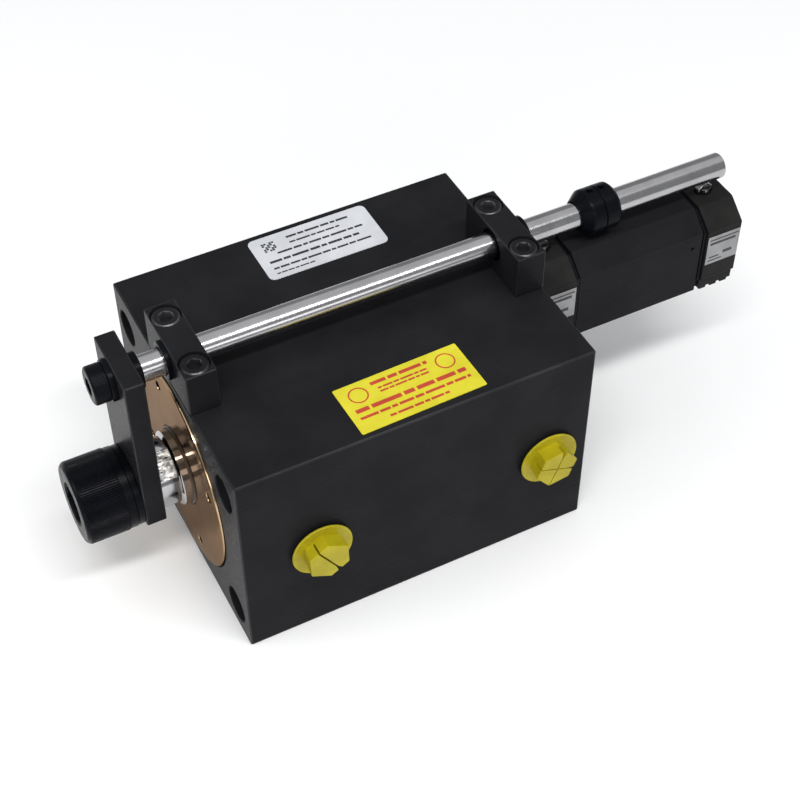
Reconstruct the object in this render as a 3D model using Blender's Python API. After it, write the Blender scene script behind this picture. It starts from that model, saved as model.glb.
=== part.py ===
"""Compact block cylinder with a link plate, a parallel trip rod and two limit switches.

Sizes are in millimetres and become metres in the mesh helpers.
+X runs along the rod, from the clamp screw to the limit switches. +Z is up.
The origin is the centre of the block's base face.
"""
import bmesh
import bpy
from math import cos, pi, radians, sin
from mathutils import Matrix, Vector

MM = 0.001
GAP = 0.3

# Block and bore
BLOCK = Vector((174.0, 140.0, 110.0))
FRONT = -BLOCK.x / 2
REAR = BLOCK.x / 2
NEAR = -BLOCK.y / 2
TOP = BLOCK.z
EDGE = 1.0
BORE_Z = 55.0
BORE_R = 40.0
BORE_END = 71.0
STROKE = 80.0
STROKE_SPARE = 1.3

# Gland
GLAND_R = 50.0
GLAND_SEAT = 22.0
GLAND_NOSE = 28.0
GLAND_PROUD = 1.0
GLAND_FACE = FRONT - GLAND_PROUD
LIP_ROOM = 20.4
WIPER_GROOVE_R = 22.3
SEAL_GROOVE_R = 22.6
WEAR_GROOVE_R = 20.6
RING_GROOVE_R = 37.2
SPANNER_HOLE_R = 2.5
SPANNER_CIRCLE_R = 40.6
SPANNER_START = 66.9

# Mounting bolt holes through the block
MOUNT_Y = 56.0
MOUNT_Z = (15.0, 93.0)
MOUNT_R = 8.75

# Oil ports on the near side
PORT_X = (-50.0, 65.5)
PORT_Z = 52.0
PORT_R = 10.4
PORT_DEPTH = 17.0
PORT_PASSAGE_R = 4.0
PLUG_R = 14.6
PLUG_FACE = -2.4
PLUG_GRIP = 7.5
PLUG_FLATS = 17.8
PLUG_SLOT = 1.4
PLUG_SLOT_DEPTH = 3.5
PLUG_HOLLOW_R = 6.0
PLUG_TURNS = (-58.0, -21.5)

# Rod, piston and clamped link plate
ROD_R = 18.0
NECK_R = 16.0
NECK_END = FRONT - 6.2
FLAT_HALF = 14.5
FLAT_ANGLE = 122.5
ROD_HOLE_END = -70.0
SPIGOT_R = 12.5
SPIGOT_END = 69.5
PISTON_R = 39.7
PISTON_FRONT = FRONT + GLAND_NOSE + STROKE + STROKE_SPARE
PISTON_HUB_R = 30.0
PISTON_LAND = 30.3
PISTON_REAR = 60.0
WEAR_GROOVES = ((33.0, 39.0), (51.0, 57.0))
PISTON_SEAL_GROOVE = (42.0, 48.0)
PISTON_SEAL_R = 34.0
PISTON_NUT = 41.0
PLATE_THICKNESS = 9.5
PLATE_BACK = FRONT - 15.5
PLATE_FRONT = PLATE_BACK - PLATE_THICKNESS
PLATE_WIDTH = 36.0
PLATE_BOTTOM = 43.5
PLATE_TOP = 132.5
CLAMP_R = 19.7
CLAMP_THREAD_R = 13.2
CLAMP_LENGTH = 27.5
CLAMP_WASHER = 3.0
CLAMP_SOCKET = 19.0
CLAMP_SOCKET_DEPTH = 13.5
CLAMP_TIP = -75.0

# Trip rod over the block
TRIP_Z = 123.0
TRIP_R = 6.25
TRIP_END = 198.5
TRIP_BORE_R = 6.55
SHOULDER = 2.4
SHOULDER_R = 8.6
TRIP_WASHER = 2.0
TRIP_WASHER_R = 9.6
TRIP_SCREW_R = 8.8
TRIP_SCREW_HEAD = 7.4
TRIP_SOCKET = 8.0
TRIP_THREAD_R = 3.9
TRIP_SCREW_TIP = -80.0
TRIP_HOLE_END = -77.0

# Guide blocks
GUIDE = Vector((14.5, 48.0, 22.0))
GUIDE_X = (FRONT + GUIDE.x / 2, REAR - GUIDE.x / 2)
GUIDE_SCREW_Y = 16.2
COUNTERBORE_R = 7.3
COUNTERBORE_DEPTH = 9.0
HEAD_R = 6.5
HEAD_HEIGHT = 8.0
HEAD_SOCKET = 6.0
SHANK_R = 4.0
SHANK_TIPS = (104.3, 97.0)
BUSH_R = 7.7
BUSH_FLANGE_R = 9.0
BUSH_FLANGE = 2.2

# Trip collar: two clamped rings
RING_FRONT = 117.0
RING_SPLIT = 128.6
RING_REAR = 137.5
RING_R = 11.0
RING_NOSE_R = 7.4
RING_NOSE = 5.0
RING_TAIL = 2.2
RING_SCREWS = (125.2, 131.4)
RING_TILT = -8.0
SET_SCREW_R = 1.3
SET_SCREW_Z = (6.9, 10.0)

# Limit switches and the bar between them
SWITCH_LENGTH = 21.5
SWITCH_X = (99.8, 191.2)
SWITCH_HALF_WIDTH = 20.0
SWITCH_TOP = 110.0
SWITCH_BASE = 64.0
CREASE_Y = 9.5
SHOULDER_Z = 101.5
FOOT_Z = 70.0
FOOT_INSET = 1.2
LABEL_Z = (80.5, 98.0)
COVER = 1.6
COVER_INSET = 1.0
BAR_X = (110.9, 180.1)
BAR_INSET = 1.2
TIE_Z = (80.0, 70.0)
TIE_R = 2.7
TIE_HEAD_R = 4.6
TIE_HEAD = 5.2
TIE_HOLE = 10.0
PLUNGER_R = 3.5
PLUNGER_LENGTH = 20.0
PLUNGER_TRAVEL = 3.5
SPRING_LENGTH = 4.3
SPRING_R = (2.2, 3.4)
ROLLER_R = 4.0
ROLLER_Z = 111.0
ROLLER_HALF = 1.7
PIN_R = 1.2
PIN_HALF = 3.3
POCKET_R = 3.9
POCKET_SLOT = (4.5, 2.1)
POCKET_FLOOR = 102.5

# Labels
RATING_LABEL = Vector((61.0, 29.5, 0.3))
RATING_AT = Vector((8.8, 51.6, TOP + 0.1))
CAUTION_LABEL = Vector((61.0, 28.5, 0.3))
CAUTION_AT = Vector((3.4, -52.2, TOP + 0.1))
CAUTION_TURN = 1.6

# Colour, roughness, metallic
FINISHES = {
    "black_oxide": ((0.018, 0.018, 0.02), 0.42, 0.6),
    "black_alloy": ((0.03, 0.03, 0.033), 0.5, 0.4),
    "black_screw": ((0.014, 0.014, 0.017), 0.35, 0.7),
    "bronze": ((0.62, 0.4, 0.2), 0.25, 1.0),
    "chrome": ((0.62, 0.63, 0.64), 0.16, 1.0),
    "bright_steel": ((0.5, 0.5, 0.51), 0.3, 1.0),
    "seal_rubber": ((0.012, 0.012, 0.013), 0.6, 0.0),
    "yellow_plastic": ((0.86, 0.78, 0.03), 0.4, 0.0),
    "white_label": ((0.86, 0.87, 0.88), 0.35, 0.0),
    "yellow_label": ((0.9, 0.8, 0.02), 0.4, 0.0),
    "silver_label": ((0.78, 0.79, 0.8), 0.35, 0.2),
}


def clear_scene():
    for item in list(bpy.data.objects):
        bpy.data.objects.remove(item)


def finish(name):
    """Return the named material, made once."""
    found = bpy.data.materials.get(name)
    if found:
        return found
    colour, roughness, metallic = FINISHES[name]
    made = bpy.data.materials.new(name)
    made.use_nodes = True
    shader = made.node_tree.nodes["Principled BSDF"]
    shader.inputs["Base Color"].default_value = (*colour, 1.0)
    shader.inputs["Roughness"].default_value = roughness
    shader.inputs["Metallic"].default_value = metallic
    made.diffuse_color = (*colour, 1.0)
    return made


def anchor(name, at):
    """An empty that carries the pieces of one moving body."""
    empty = bpy.data.objects.new(name, None)
    empty.location = at * MM
    bpy.context.scene.collection.objects.link(empty)
    return empty


def add(name, work, look, at=Vector((0, 0, 0)), parent=None, turn=None):
    """Turn a bmesh into a linked object whose origin is at the given place."""
    bmesh.ops.scale(work, vec=(MM, MM, MM), verts=work.verts)
    bmesh.ops.recalc_face_normals(work, faces=work.faces)
    mesh = bpy.data.meshes.new(name)
    work.to_mesh(mesh)
    work.free()
    mesh.shade_smooth()
    mesh.set_sharp_from_angle(angle=radians(35))
    if look:
        mesh.materials.append(finish(look))
    item = bpy.data.objects.new(name, mesh)
    item.location = at * MM
    if turn:
        item.rotation_euler = turn
    if parent:
        item.parent = parent
        item.location -= parent.location
    bpy.context.scene.collection.objects.link(item)
    return item


def cut(item, work, at=Vector((0, 0, 0))):
    """Subtract a bmesh, placed like its target, from an object."""
    tool = add(item.name + "_cutter", work, None, at)
    tool.hide_render = True
    tool.display_type = "WIRE"
    boolean = item.modifiers.new("cut", "BOOLEAN")
    boolean.operation = "DIFFERENCE"
    boolean.solver = "EXACT"
    boolean.object = tool


def spun(work, profile, axis="X", steps=32, centre=Vector((0, 0, 0)), closed=False):
    """Spin a profile of (distance along the axis, radius) points about an axis through the centre."""
    along = {"X": Vector((1, 0, 0)), "Y": Vector((0, 1, 0)), "Z": Vector((0, 0, 1))}[axis]
    out = {"X": Vector((0, 0, 1)), "Y": Vector((0, 0, 1)), "Z": Vector((1, 0, 0))}[axis]
    verts = [work.verts.new(centre + along * place + out * radius) for place, radius in profile]
    pairs = list(zip(verts, verts[1:]))
    if closed:
        pairs.append((verts[-1], verts[0]))
    edges = [work.edges.new(pair) for pair in pairs]
    made = bmesh.ops.spin(work, geom=verts + edges, cent=centre, axis=along, dvec=(0, 0, 0),
                          angle=2 * pi, steps=steps, use_merge=True, use_duplicate=False)
    bmesh.ops.remove_doubles(work, verts=work.verts, dist=1e-4)
    loose = [edge for edge in work.edges if not edge.link_faces]
    bmesh.ops.delete(work, geom=loose, context="EDGES")
    return made


def turned(profile, **options):
    work = bmesh.new()
    spun(work, profile, **options)
    return work


def tube(low, high, inner, outer, **options):
    """A plain ring between two planes."""
    profile = [(low, inner), (high, inner), (high, outer), (low, outer)]
    return turned(profile, closed=True, **options)


def rod(low, high, radius, **options):
    return turned([(low, 0), (low, radius), (high, radius), (high, 0)], **options)


def merge(*works):
    """Join separate bmeshes into one, for cutters that hold several bodies."""
    whole = bmesh.new()
    for work in works:
        mesh = bpy.data.meshes.new("part")
        work.to_mesh(mesh)
        work.free()
        whole.from_mesh(mesh)
        bpy.data.meshes.remove(mesh)
    return whole


def brick(low, high, bevel=0.0):
    """A box between two corners, with its edges chamfered."""
    work = bmesh.new()
    low = Vector(low)
    high = Vector(high)
    size = high - low
    place = Matrix.Translation((low + high) / 2) @ Matrix.Diagonal((*size, 1.0))
    bmesh.ops.create_cube(work, size=1.0, matrix=place)
    if bevel:
        bmesh.ops.bevel(work, geom=work.edges[:], offset=bevel, segments=1, affect="EDGES")
    return work


def prism(outline, low, high, axis="X"):
    """Extrude a flat outline along an axis, X: (y, z), Y: (x, z), Z: (x, y)."""
    spots = {"X": lambda a, b, c: (c, a, b), "Y": lambda a, b, c: (a, c, b), "Z": lambda a, b, c: (a, b, c)}[axis]
    work = bmesh.new()
    face = work.faces.new([work.verts.new(spots(a, b, low)) for a, b in outline])
    made = bmesh.ops.extrude_face_region(work, geom=[face])
    moved = [item for item in made["geom"] if isinstance(item, bmesh.types.BMVert)]
    bmesh.ops.translate(work, vec=spots(0, 0, high - low), verts=moved)
    return work


def polygon(sides, across_flats, start=0.0, centre=(0.0, 0.0)):
    """Corners of a regular polygon of the given width across its flats."""
    radius = across_flats / 2 / cos(pi / sides)
    turns = [start + 2 * pi * (step + 0.5) / sides for step in range(sides)]
    return [(centre[0] + radius * cos(turn), centre[1] + radius * sin(turn)) for turn in turns]


def rounded(width, height, radius, steps=4):
    """Outline of a rectangle with round corners, centred on the origin."""
    points = []
    for corner in range(4):
        side_x = 1 if corner in (0, 3) else -1
        side_y = 1 if corner in (0, 1) else -1
        for step in range(steps + 1):
            turn = pi / 2 * (corner + step / steps)
            x = side_x * (width / 2 - radius) + radius * cos(turn)
            y = side_y * (height / 2 - radius) + radius * sin(turn)
            points.append((x, y))
    return points


def axis_x(y, z):
    return Vector((0, y, z))


# --- Cylinder body ---------------------------------------------------------


def make_block():
    block = add("cylinder_block", brick((FRONT, NEAR, 0), (REAR, -NEAR, TOP), EDGE), "black_oxide")
    beyond = 5.0
    seat = FRONT + GLAND_SEAT
    profile = [(FRONT - beyond, 0), (FRONT - beyond, GLAND_R + GAP), (seat, GLAND_R + GAP),
               (seat, BORE_R), (BORE_END, BORE_R), (BORE_END, 0)]
    cut(block, turned(profile, steps=40, centre=axis_x(0, BORE_Z)))
    holes = [rod(FRONT - beyond, REAR + beyond, MOUNT_R, steps=24, centre=axis_x(side * MOUNT_Y, z))
             for side in (-1, 1) for z in MOUNT_Z]
    cut(block, merge(*holes))
    ports = []
    for x in PORT_X:
        floor = NEAR + PORT_DEPTH
        profile = [(NEAR - beyond, 0), (NEAR - beyond, PORT_R), (floor, PORT_R),
                   (floor + 3.0, PORT_PASSAGE_R), (-BORE_R + 3.0, PORT_PASSAGE_R), (-BORE_R + 3.0, 0)]
        ports.append(turned(profile, axis="Y", steps=24, centre=Vector((x, 0, PORT_Z))))
    cut(block, merge(*ports))
    taps = []
    for x, tip in zip(GUIDE_X, SHANK_TIPS):
        for side in (-1, 1):
            taps.append(rod(tip - GAP, TOP + beyond, SHANK_R + GAP, axis="Z", steps=16,
                            centre=Vector((x, side * GUIDE_SCREW_Y, 0))))
    for z in TIE_Z:
        taps.append(rod(REAR - TIE_HOLE, REAR + beyond, TIE_R + GAP, steps=16, centre=axis_x(0, z)))
    cut(block, merge(*taps))


def make_gland():
    face = GLAND_FACE
    seat = FRONT + GLAND_SEAT - GAP
    nose = FRONT + GLAND_NOSE
    inner = ROD_R + GAP
    spigot = BORE_R - GAP
    profile = [
        (face, LIP_ROOM), (face, GLAND_R - 1.0), (face + 1.0, GLAND_R), (seat, GLAND_R), (seat, spigot),
        (seat + 1.2, spigot), (seat + 1.2, RING_GROOVE_R), (seat + 4.4, RING_GROOVE_R), (seat + 4.4, spigot),
        (nose, spigot), (nose, inner), (face + 20.0, inner), (face + 20.0, WEAR_GROOVE_R),
        (face + 13.0, WEAR_GROOVE_R), (face + 13.0, inner), (face + 12.0, inner), (face + 12.0, SEAL_GROOVE_R),
        (face + 7.2, SEAL_GROOVE_R), (face + 7.2, inner), (face + 6.0, inner), (face + 6.0, WIPER_GROOVE_R),
        (face + 1.5, WIPER_GROOVE_R), (face + 1.5, LIP_ROOM),
    ]
    gland = add("front_gland", turned(profile, closed=True, steps=40, centre=axis_x(0, BORE_Z)), "bronze")
    pins = []
    for quarter in range(4):
        turn = radians(SPANNER_START + 90 * quarter)
        spot = axis_x(SPANNER_CIRCLE_R * cos(turn), BORE_Z + SPANNER_CIRCLE_R * sin(turn))
        pins.append(rod(face - 2.0, face + 5.0, SPANNER_HOLE_R, steps=16, centre=spot))
    cut(gland, merge(*pins))
    centre = axis_x(0, BORE_Z)
    lip = [(face - 1.6, inner), (face - 1.6, 18.8), (face - 0.6, LIP_ROOM - GAP), (face + 1.8, LIP_ROOM - GAP),
           (face + 1.8, WIPER_GROOVE_R - GAP), (face + 5.7, WIPER_GROOVE_R - GAP), (face + 5.7, inner)]
    add("rod_wiper", turned(lip, closed=True, steps=32, centre=centre), "seal_rubber")
    seal = tube(face + 7.5, face + 11.7, inner, SEAL_GROOVE_R - GAP, steps=24, centre=centre)
    add("rod_seal", seal, "seal_rubber")
    wear_ring = tube(face + 13.3, face + 19.7, inner, WEAR_GROOVE_R - GAP, steps=24, centre=centre)
    add("rod_wear_ring", wear_ring, "bronze")
    cord = 1.1
    ring = [(seat + 2.8 + cord * cos(pi * step / 3), spigot - cord + cord * sin(pi * step / 3)) for step in range(6)]
    add("gland_o_ring", turned(ring, closed=True, steps=24, centre=centre), "seal_rubber")


def make_guides():
    low_z = TOP + GAP
    for name, x, tip in zip(("front", "rear"), GUIDE_X, SHANK_TIPS):
        half = GUIDE.x / 2
        low = (x - half, -GUIDE.y / 2, low_z)
        high = (x + half, GUIDE.y / 2, low_z + GUIDE.z)
        block = add("guide_block_" + name, brick(low, high, 0.7), "black_oxide")
        cut(block, rod(x - half - 3.0, x + half + 3.0, BUSH_R + GAP, steps=24, centre=axis_x(0, TRIP_Z)))
        floor = low_z + GUIDE.z - COUNTERBORE_DEPTH
        holes = []
        for side in (-1, 1):
            profile = [(low_z - 3.0, 0), (low_z - 3.0, SHANK_R + GAP), (floor, SHANK_R + GAP),
                       (floor, COUNTERBORE_R), (low_z + GUIDE.z + 3.0, COUNTERBORE_R),
                       (low_z + GUIDE.z + 3.0, 0)]
            spot = Vector((x, side * GUIDE_SCREW_Y, 0))
            holes.append(turned(profile, axis="Z", steps=20, centre=spot))
        cut(block, merge(*holes))
        outward = -1 if name == "front" else 1
        face = x + outward * half
        profile = [(face - outward * (GUIDE.x - 1.0), TRIP_BORE_R), (face + outward * BUSH_FLANGE, TRIP_BORE_R),
                   (face + outward * BUSH_FLANGE, BUSH_FLANGE_R), (face + outward * GAP, BUSH_FLANGE_R),
                   (face + outward * GAP, BUSH_R), (face - outward * (GUIDE.x - 1.0), BUSH_R)]
        bush = turned(profile, closed=True, steps=24, centre=axis_x(0, TRIP_Z))
        add("guide_bush_" + name, bush, "black_screw")
        for number, side in enumerate((-1, 1), start=1):
            seat = Vector((x, side * GUIDE_SCREW_Y, floor + GAP))
            make_guide_screw("guide_screw_" + name + "_" + str(number), seat, seat.z - tip)


def make_guide_screw(name, seat, shank_length):
    """A socket-head cap screw that points down from the plane under its head."""
    chamfer = 0.6
    profile = [(-shank_length, 0), (-shank_length, SHANK_R), (0, SHANK_R), (0, HEAD_R),
               (HEAD_HEIGHT - chamfer, HEAD_R), (HEAD_HEIGHT, HEAD_R - chamfer), (HEAD_HEIGHT, 0)]
    screw = add(name, turned(profile, axis="Z", steps=20), "black_screw", seat)
    cut(screw, prism(polygon(6, HEAD_SOCKET), HEAD_HEIGHT * 0.45, HEAD_HEIGHT + 2.0, axis="Z"), seat)


def make_port_plug(name, x, turn):
    """A push-in transport plug with a dished flange and a slotted hexagon grip."""
    at = Vector((x, NEAR, PORT_Z))
    flange = [(12.0, 0), (12.0, 8.4), (9.6, 9.2), (-0.6, 9.6), (-1.0, 12.0), (-1.6, PLUG_R),
              (-2.6, PLUG_R), (PLUG_FACE, 11.0), (PLUG_FACE, 0)]
    plug = add("port_plug_" + name, turned(flange, axis="Y", steps=28), "yellow_plastic", at)
    end = PLUG_FACE - PLUG_GRIP
    hexagon = prism(polygon(6, PLUG_FLATS, radians(turn)), -2.0, end, axis="Y")
    grip = add("port_plug_grip_" + name, hexagon, None, at)
    grip.hide_render = True
    grip.display_type = "WIRE"
    union = plug.modifiers.new("grip", "BOOLEAN")
    union.operation = "UNION"
    union.solver = "EXACT"
    union.object = grip
    slot = brick((-11, end - 1, -PLUG_SLOT / 2), (11, end + PLUG_SLOT_DEPTH, PLUG_SLOT / 2))
    bmesh.ops.rotate(slot, matrix=Matrix.Rotation(radians(-turn), 3, "Y"), verts=slot.verts)
    cut(plug, slot, at)
    cut(plug, rod(3.0, 14.0, PLUG_HOLLOW_R, axis="Y", steps=16), at)


# --- Moving rod ------------------------------------------------------------


def make_rod(parent):
    centre = axis_x(0, BORE_Z)
    front = PLATE_BACK + GAP
    hole = CLAMP_THREAD_R + GAP
    profile = [
        (ROD_HOLE_END, 0), (ROD_HOLE_END, hole), (front, hole), (front, NECK_R), (NECK_END, NECK_R),
        (NECK_END + 0.8, ROD_R), (PISTON_FRONT - GAP, ROD_R), (PISTON_FRONT - GAP, SPIGOT_R),
        (SPIGOT_END, SPIGOT_R), (SPIGOT_END, 0),
    ]
    piston_rod = add("piston_rod", turned(profile, steps=36, centre=centre), "chrome")
    flats = []
    for side in (1, -1):
        slab = brick((front - 2.0, -20.0, FLAT_HALF), (NECK_END, 20.0, 22.0))
        turn = Matrix.Rotation(radians(FLAT_ANGLE - 90) + (0 if side > 0 else pi), 4, "X")
        bmesh.ops.transform(slab, matrix=Matrix.Translation(centre) @ turn, verts=slab.verts)
        flats.append(slab)
    cut(piston_rod, merge(*flats))
    hang(piston_rod, parent)

    profile = [(PISTON_FRONT, SPIGOT_R + GAP), (PISTON_FRONT, PISTON_HUB_R), (PISTON_LAND, PISTON_HUB_R),
               (PISTON_LAND, PISTON_R)]
    (wear_front, wear_rear), (seal_low, seal_high) = WEAR_GROOVES, PISTON_SEAL_GROOVE
    for low, high, depth in ((*wear_front, RING_GROOVE_R), (seal_low, seal_high, PISTON_SEAL_R),
                             (*wear_rear, RING_GROOVE_R)):
        profile += [(low, PISTON_R), (low, depth), (high, depth), (high, PISTON_R)]
    profile += [(PISTON_REAR, PISTON_R), (PISTON_REAR, SPIGOT_R + GAP)]
    hang(add("piston", turned(profile, closed=True, steps=32, centre=centre), "bright_steel"), parent)
    rings = {"piston_seal": (PISTON_SEAL_GROOVE, PISTON_SEAL_R, "seal_rubber"),
             "piston_wear_ring_front": (wear_front, RING_GROOVE_R, "bronze"),
             "piston_wear_ring_rear": (wear_rear, RING_GROOVE_R, "bronze")}
    for name, ((low, high), depth, look) in rings.items():
        ring = tube(low + GAP, high - GAP, depth + GAP, PISTON_R, steps=32, centre=centre)
        hang(add(name, ring, look), parent)
    nut = add("piston_nut", prism(polygon(6, PISTON_NUT, centre=(0, BORE_Z)), PISTON_REAR + GAP, SPIGOT_END),
              "bright_steel")
    cut(nut, rod(PISTON_REAR - 2.0, 72.0, SPIGOT_R + GAP, steps=32, centre=centre))
    hang(nut, parent)


def hang(item, parent):
    """Hang a piece, built in world places, on a moving body's empty."""
    item.parent = parent
    item.matrix_parent_inverse = Matrix.Translation(-parent.location)


def make_link(parent):
    half = PLATE_WIDTH / 2
    plate = add("link_plate", brick((PLATE_FRONT, -half, PLATE_BOTTOM), (PLATE_BACK, half, PLATE_TOP), 0.8),
                "black_oxide")
    holes = merge(rod(PLATE_FRONT - 2, PLATE_BACK + 2, CLAMP_THREAD_R + GAP, steps=32, centre=axis_x(0, BORE_Z)),
                  rod(PLATE_FRONT - 2, PLATE_BACK + 2, TRIP_THREAD_R + GAP, steps=20, centre=axis_x(0, TRIP_Z)))
    cut(plate, holes)
    hang(plate, parent)

    centre = axis_x(0, BORE_Z)
    washer_front = PLATE_FRONT - GAP - CLAMP_WASHER
    washer = tube(washer_front, PLATE_FRONT - GAP, CLAMP_THREAD_R + GAP, CLAMP_R - 0.6, steps=32, centre=centre)
    hang(add("clamp_washer", washer, "black_screw"), parent)
    under = washer_front - GAP
    top = PLATE_FRONT - CLAMP_LENGTH
    profile = [(top, 0), (top, CLAMP_R - 1.8), (top + 1.8, CLAMP_R), (under, CLAMP_R),
               (under, CLAMP_THREAD_R), (CLAMP_TIP - 1.0, CLAMP_THREAD_R), (CLAMP_TIP, CLAMP_THREAD_R - 1.0),
               (CLAMP_TIP, 0)]
    screw = add("clamp_screw", turned(profile, steps=36, centre=centre), "black_screw")
    socket = prism(polygon(6, CLAMP_SOCKET, centre=(0, BORE_Z)), top - 2.0, top + CLAMP_SOCKET_DEPTH)
    cut(screw, socket)
    hang(screw, parent)


def make_trip_rod(parent):
    centre = axis_x(0, TRIP_Z)
    rod_front = PLATE_BACK + GAP + SHOULDER + GAP
    profile = [(TRIP_HOLE_END, 0), (TRIP_HOLE_END, TRIP_THREAD_R + GAP), (rod_front, TRIP_THREAD_R + GAP),
               (rod_front, TRIP_R - 0.5), (rod_front + 0.5, TRIP_R), (TRIP_END - 0.8, TRIP_R),
               (TRIP_END, TRIP_R - 0.8), (TRIP_END, 0)]
    hang(add("trip_rod", turned(profile, steps=32, centre=centre), "chrome"), parent)
    low = PLATE_BACK + GAP
    shoulder = tube(low, low + SHOULDER, TRIP_THREAD_R + GAP, SHOULDER_R, steps=24, centre=centre)
    hang(add("trip_rod_shoulder", shoulder, "black_screw"), parent)
    high = PLATE_FRONT - GAP
    washer = tube(high - TRIP_WASHER, high, TRIP_THREAD_R + GAP, TRIP_WASHER_R, steps=24, centre=centre)
    hang(add("trip_rod_washer", washer, "black_screw"), parent)
    under = high - TRIP_WASHER - GAP
    top = under - TRIP_SCREW_HEAD
    profile = [(top, 0), (top, TRIP_SCREW_R - 0.8), (top + 0.8, TRIP_SCREW_R), (under, TRIP_SCREW_R),
               (under, TRIP_THREAD_R), (TRIP_SCREW_TIP - 1.0, TRIP_THREAD_R),
               (TRIP_SCREW_TIP, TRIP_THREAD_R - 1.0), (TRIP_SCREW_TIP, 0)]
    screw = add("trip_rod_screw", turned(profile, steps=24, centre=centre), "black_screw")
    cut(screw, prism(polygon(6, TRIP_SOCKET, centre=(0, TRIP_Z)), top - 2.0, top + 4.0))
    hang(screw, parent)


def tilted(work):
    """Lean a set screw, or its hole, about the trip rod."""
    bmesh.ops.rotate(work, matrix=Matrix.Rotation(radians(RING_TILT), 3, "X"), verts=work.verts)
    return work


def make_trip_collar(parent):
    centre = axis_x(0, TRIP_Z)
    split = GAP / 2
    front = [(RING_FRONT, TRIP_BORE_R), (RING_FRONT, RING_NOSE_R), (RING_FRONT + RING_NOSE, RING_R),
             (RING_SPLIT - split, RING_R), (RING_SPLIT - split, TRIP_BORE_R)]
    rear = [(RING_SPLIT + split, TRIP_BORE_R), (RING_SPLIT + split, RING_R), (RING_REAR - RING_TAIL, RING_R),
            (RING_REAR, RING_R - RING_TAIL), (RING_REAR, TRIP_BORE_R)]
    for name, profile, x in zip(("front", "rear"), (front, rear), RING_SCREWS):
        ring = add("trip_ring_" + name, turned(profile, closed=True, steps=32, centre=centre), "black_screw")
        spot = Vector((x, 0, TRIP_Z))
        cut(ring, tilted(rod(4.0, 14.0, SET_SCREW_R + GAP, axis="Z", steps=16)), spot)
        hang(ring, parent)
        screw = add("trip_set_screw_" + name, tilted(rod(*SET_SCREW_Z, SET_SCREW_R, axis="Z", steps=16)),
                    "black_screw", spot)
        cut(screw, tilted(prism(polygon(6, 1.4), SET_SCREW_Z[1] - 1.5, SET_SCREW_Z[1] + 1.0, axis="Z")), spot)
        hang(screw, parent)


# --- Limit switches --------------------------------------------------------


def switch_outline(inset=0.0):
    """Housing outline in Y and Z: a flat top, two broad chamfers and a stepped foot."""
    side = SWITCH_HALF_WIDTH - inset
    top = SWITCH_TOP - inset
    foot = SWITCH_BASE + inset
    half = [(CREASE_Y, top), (side, SHOULDER_Z), (side, FOOT_Z), (side - FOOT_INSET, FOOT_Z - 1.0),
            (side - FOOT_INSET, foot)]
    return half + [(-y, z) for y, z in reversed(half)]


def bar_outline():
    """Outline of the spacer bar: the housings' outline with plain sides."""
    side = SWITCH_HALF_WIDTH - BAR_INSET
    half = [(CREASE_Y - 0.5, SWITCH_TOP), (side, SHOULDER_Z), (side, SWITCH_BASE)]
    return half + [(-y, z) for y, z in reversed(half)]


def make_switch(name, x, cover_side):
    """One roller plunger switch; its cover is on the side that faces the bar."""
    half = SWITCH_LENGTH / 2
    cover_face = x + cover_side * half
    inner = cover_face - cover_side * COVER
    back = x - cover_side * half
    low, high = sorted((back, inner - cover_side * GAP))
    body = add("switch_body_" + name, prism(switch_outline(), low, high), "black_alloy")
    cut(body, rod(TIE_Z[0] + 6.0, SWITCH_TOP + 5.0, POCKET_R, axis="Z", steps=20), Vector((x, 0, 0)))
    slot_x, slot_y = POCKET_SLOT
    cut(body, brick((-slot_x, -slot_y, POCKET_FLOOR), (slot_x, slot_y, SWITCH_TOP + 5.0)), Vector((x, 0, 0)))
    cut(body, merge(*[rod(low - 3.0, high + 3.0, TIE_R + GAP, steps=16, centre=axis_x(0, z)) for z in TIE_Z]))
    low, high = sorted((inner, cover_face))
    cover = add("switch_cover_" + name, prism(switch_outline(COVER_INSET), low, high), "black_screw")
    cut(cover, merge(*[rod(low - 3.0, high + 3.0, TIE_R + GAP, steps=16, centre=axis_x(0, z)) for z in TIE_Z]))
    side = -SWITCH_HALF_WIDTH - 0.1
    low, high = sorted((back + cover_side * 0.6, inner - cover_side * 0.8))
    label = brick((low, side - 0.3, LABEL_Z[0]), (high, side, LABEL_Z[1]))
    add("switch_label_" + name, label, "silver_label")


def make_plunger(name, x, slider, spinner):
    """A round plunger with a forked head, its roller and the roller's pin."""
    low = ROLLER_Z - PLUNGER_LENGTH + 3.5
    fork = ROLLER_Z + 1.9
    body = add("switch_plunger_" + name, rod(low, fork, PLUNGER_R, axis="Z", steps=20, centre=Vector((x, 0, 0))),
               "bright_steel")
    slot = ROLLER_HALF + GAP
    notch = brick((x - 5.0, -slot, ROLLER_Z - ROLLER_R - 0.6), (x + 6.0, slot, fork + 2.0))
    cross = rod(-6.0, 6.0, PIN_R + GAP, axis="Y", steps=12, centre=Vector((x, 0, ROLLER_Z)))
    cut(body, notch)
    cut(body, cross)
    hang(body, slider)
    spring_top = low - PLUNGER_TRAVEL - GAP - 0.1
    spring = tube(spring_top - SPRING_LENGTH, spring_top, *SPRING_R, axis="Z", steps=20, centre=Vector((x, 0, 0)))
    add("plunger_spring_" + name, spring, "bright_steel")
    pin = rod(-PIN_HALF, PIN_HALF, PIN_R, axis="Y", steps=12, centre=Vector((x, 0, ROLLER_Z)))
    hang(add("roller_pin_" + name, pin, "bright_steel"), slider)
    wheel = tube(-ROLLER_HALF, ROLLER_HALF, PIN_R + GAP, ROLLER_R, axis="Y", steps=24,
                 centre=Vector((x, 0, ROLLER_Z)))
    hang(add("switch_roller_" + name, wheel, "chrome"), spinner)


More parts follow.
